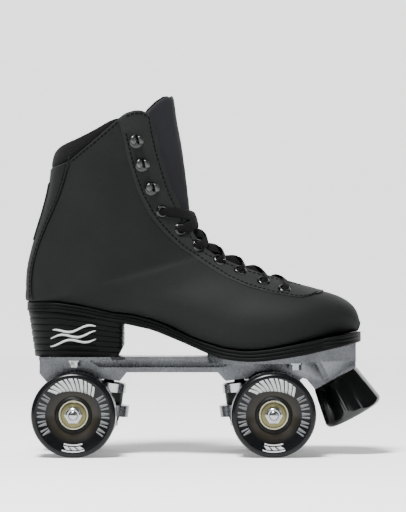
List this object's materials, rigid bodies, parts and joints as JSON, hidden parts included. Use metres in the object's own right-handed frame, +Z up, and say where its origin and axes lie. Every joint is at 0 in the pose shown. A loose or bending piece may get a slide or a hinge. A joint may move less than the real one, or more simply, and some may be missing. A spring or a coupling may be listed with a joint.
{
  "type": "quad roller skate",
  "caption": "High-top lace-up quad roller skate: leather boot, stacked heel, cast plate, sprung trucks, ball-bearing wheels and an angled toe stop.",
  "frame": {"origin": "on the ground, under the middle of the skate's length and width", "axes": "+X towards the toe, +Y towards the inner (medial) side of the right foot, +Z up"},
  "size_m": [0.2646, 0.105, 0.2678],
  "materials": {
    "leather": "satin grained leather",
    "facing_leather": "satin leather overlay",
    "back_leather": "satin leather strip",
    "webbing": "woven tape",
    "collar_fabric": "matte padded knit",
    "lining_fabric": "brushed knit lining",
    "tongue_leather": "satin leather",
    "stiffener": "impregnated board",
    "insole_fabric": "knit over foam",
    "board": "pressed fibre board",
    "sole_rubber": "satin moulded sole",
    "eyelet_metal": "black gloss eyelet",
    "hook_metal": "black nickel hook",
    "lace_cord": "flat woven lace",
    "cast_aluminium": "tumbled cast aluminium",
    "zinc_steel": "bright zinc plated steel",
    "cushion_rubber": "black urethane",
    "pivot_plastic": "black plastic cup",
    "stop_rubber": "glossy moulded rubber",
    "wheel_urethane": "smoke black urethane",
    "hub_nylon": "black nylon",
    "bearing_steel": "ground bearing steel",
    "bearing_shield": "pale gold shield"
  },
  "bodies": {
    "boot_and_plate": {"upper": "leather", "facing": "facing_leather", "backstay": "back_leather", "pull_tab": "webbing", "collar_padding": "collar_fabric", "lining": "lining_fabric", "heel_counter": "stiffener", "toe_puff": "stiffener", "tongue": "tongue_leather", "tongue_lining": "lining_fabric", "insole": "insole_fabric", "insole_board": "board", "outsole": "sole_rubber", "heel_block": "sole_rubber", "eyelets_lateral": "eyelet_metal", "eyelets_medial": "eyelet_metal", "hooks_lateral": "hook_metal", "hooks_medial": "hook_metal", "lace": "lace_cord", "plate": "cast_aluminium", "mounting_bolts": "zinc_steel", "mounting_nuts": "zinc_steel", "pivot_cups": "pivot_plastic", "kingpin_rear": "zinc_steel", "kingpin_front": "zinc_steel", "kingpin_nuts": "zinc_steel", "cushion_cups_rear": "zinc_steel", "cushion_cups_front": "zinc_steel", "upper_cushion_rear": "cushion_rubber", "upper_cushion_front": "cushion_rubber", "lower_cushion_rear": "cushion_rubber", "lower_cushion_front": "cushion_rubber"},
    "toe_stop": {"toe_stop": "stop_rubber", "toe_stop_stem": "zinc_steel"},
    "truck_rear": {"truck_rear": "cast_aluminium", "axle_rear": "zinc_steel", "axle_nuts_rear": "zinc_steel", "inner_races_rear": "bearing_steel"},
    "truck_front": {"truck_front": "cast_aluminium", "axle_front": "zinc_steel", "axle_nuts_front": "zinc_steel", "inner_races_front": "bearing_steel"},
    "wheel_rear_lateral": {"tyre_rear_lateral": "wheel_urethane", "hub_rear_lateral": "hub_nylon", "outer_races_rear_lateral": "bearing_shield"},
    "wheel_rear_medial": {"tyre_rear_medial": "wheel_urethane", "hub_rear_medial": "hub_nylon", "outer_races_rear_medial": "bearing_shield"},
    "wheel_front_lateral": {"tyre_front_lateral": "wheel_urethane", "hub_front_lateral": "hub_nylon", "outer_races_front_lateral": "bearing_shield"},
    "wheel_front_medial": {"tyre_front_medial": "wheel_urethane", "hub_front_medial": "hub_nylon", "outer_races_front_medial": "bearing_shield"}
  },
  "joints": [
    {"name": "rear_truck_steer", "type": "hinge", "parent": "boot_and_plate", "child": "truck_rear", "pos_m": [-0.0733, 0, 0.0336], "axis": [0.8343, 0, -0.5513], "range_deg": [-8, 8], "stiffness_Nm_per_rad": 25, "deforming": ["upper_cushion_rear", "lower_cushion_rear"]},
    {"name": "front_truck_steer", "type": "hinge", "parent": "boot_and_plate", "child": "truck_front", "pos_m": [0.0298, 0, 0.0336], "axis": [-0.8343, 0, -0.5513], "range_deg": [-8, 8], "stiffness_Nm_per_rad": 25, "deforming": ["upper_cushion_front", "lower_cushion_front"]},
    {"name": "rear_lateral_wheel_spin", "type": "hinge", "parent": "truck_rear", "child": "wheel_rear_lateral", "pos_m": [-0.0948, -0.0355, 0.031], "axis": [0, 1, 0], "continuous": true},
    {"name": "rear_medial_wheel_spin", "type": "hinge", "parent": "truck_rear", "child": "wheel_rear_medial", "pos_m": [-0.0948, 0.0355, 0.031], "axis": [0, 1, 0], "continuous": true},
    {"name": "front_lateral_wheel_spin", "type": "hinge", "parent": "truck_front", "child": "wheel_front_lateral", "pos_m": [0.0513, -0.0355, 0.031], "axis": [0, 1, 0], "continuous": true},
    {"name": "front_medial_wheel_spin", "type": "hinge", "parent": "truck_front", "child": "wheel_front_medial", "pos_m": [0.0513, 0.0355, 0.031], "axis": [0, 1, 0], "continuous": true},
    {"name": "toe_stop_height", "type": "slide", "parent": "boot_and_plate", "child": "toe_stop", "axis": [0.4772, 0, -0.8788], "range_m": [0, 0.006]}
  ]
}
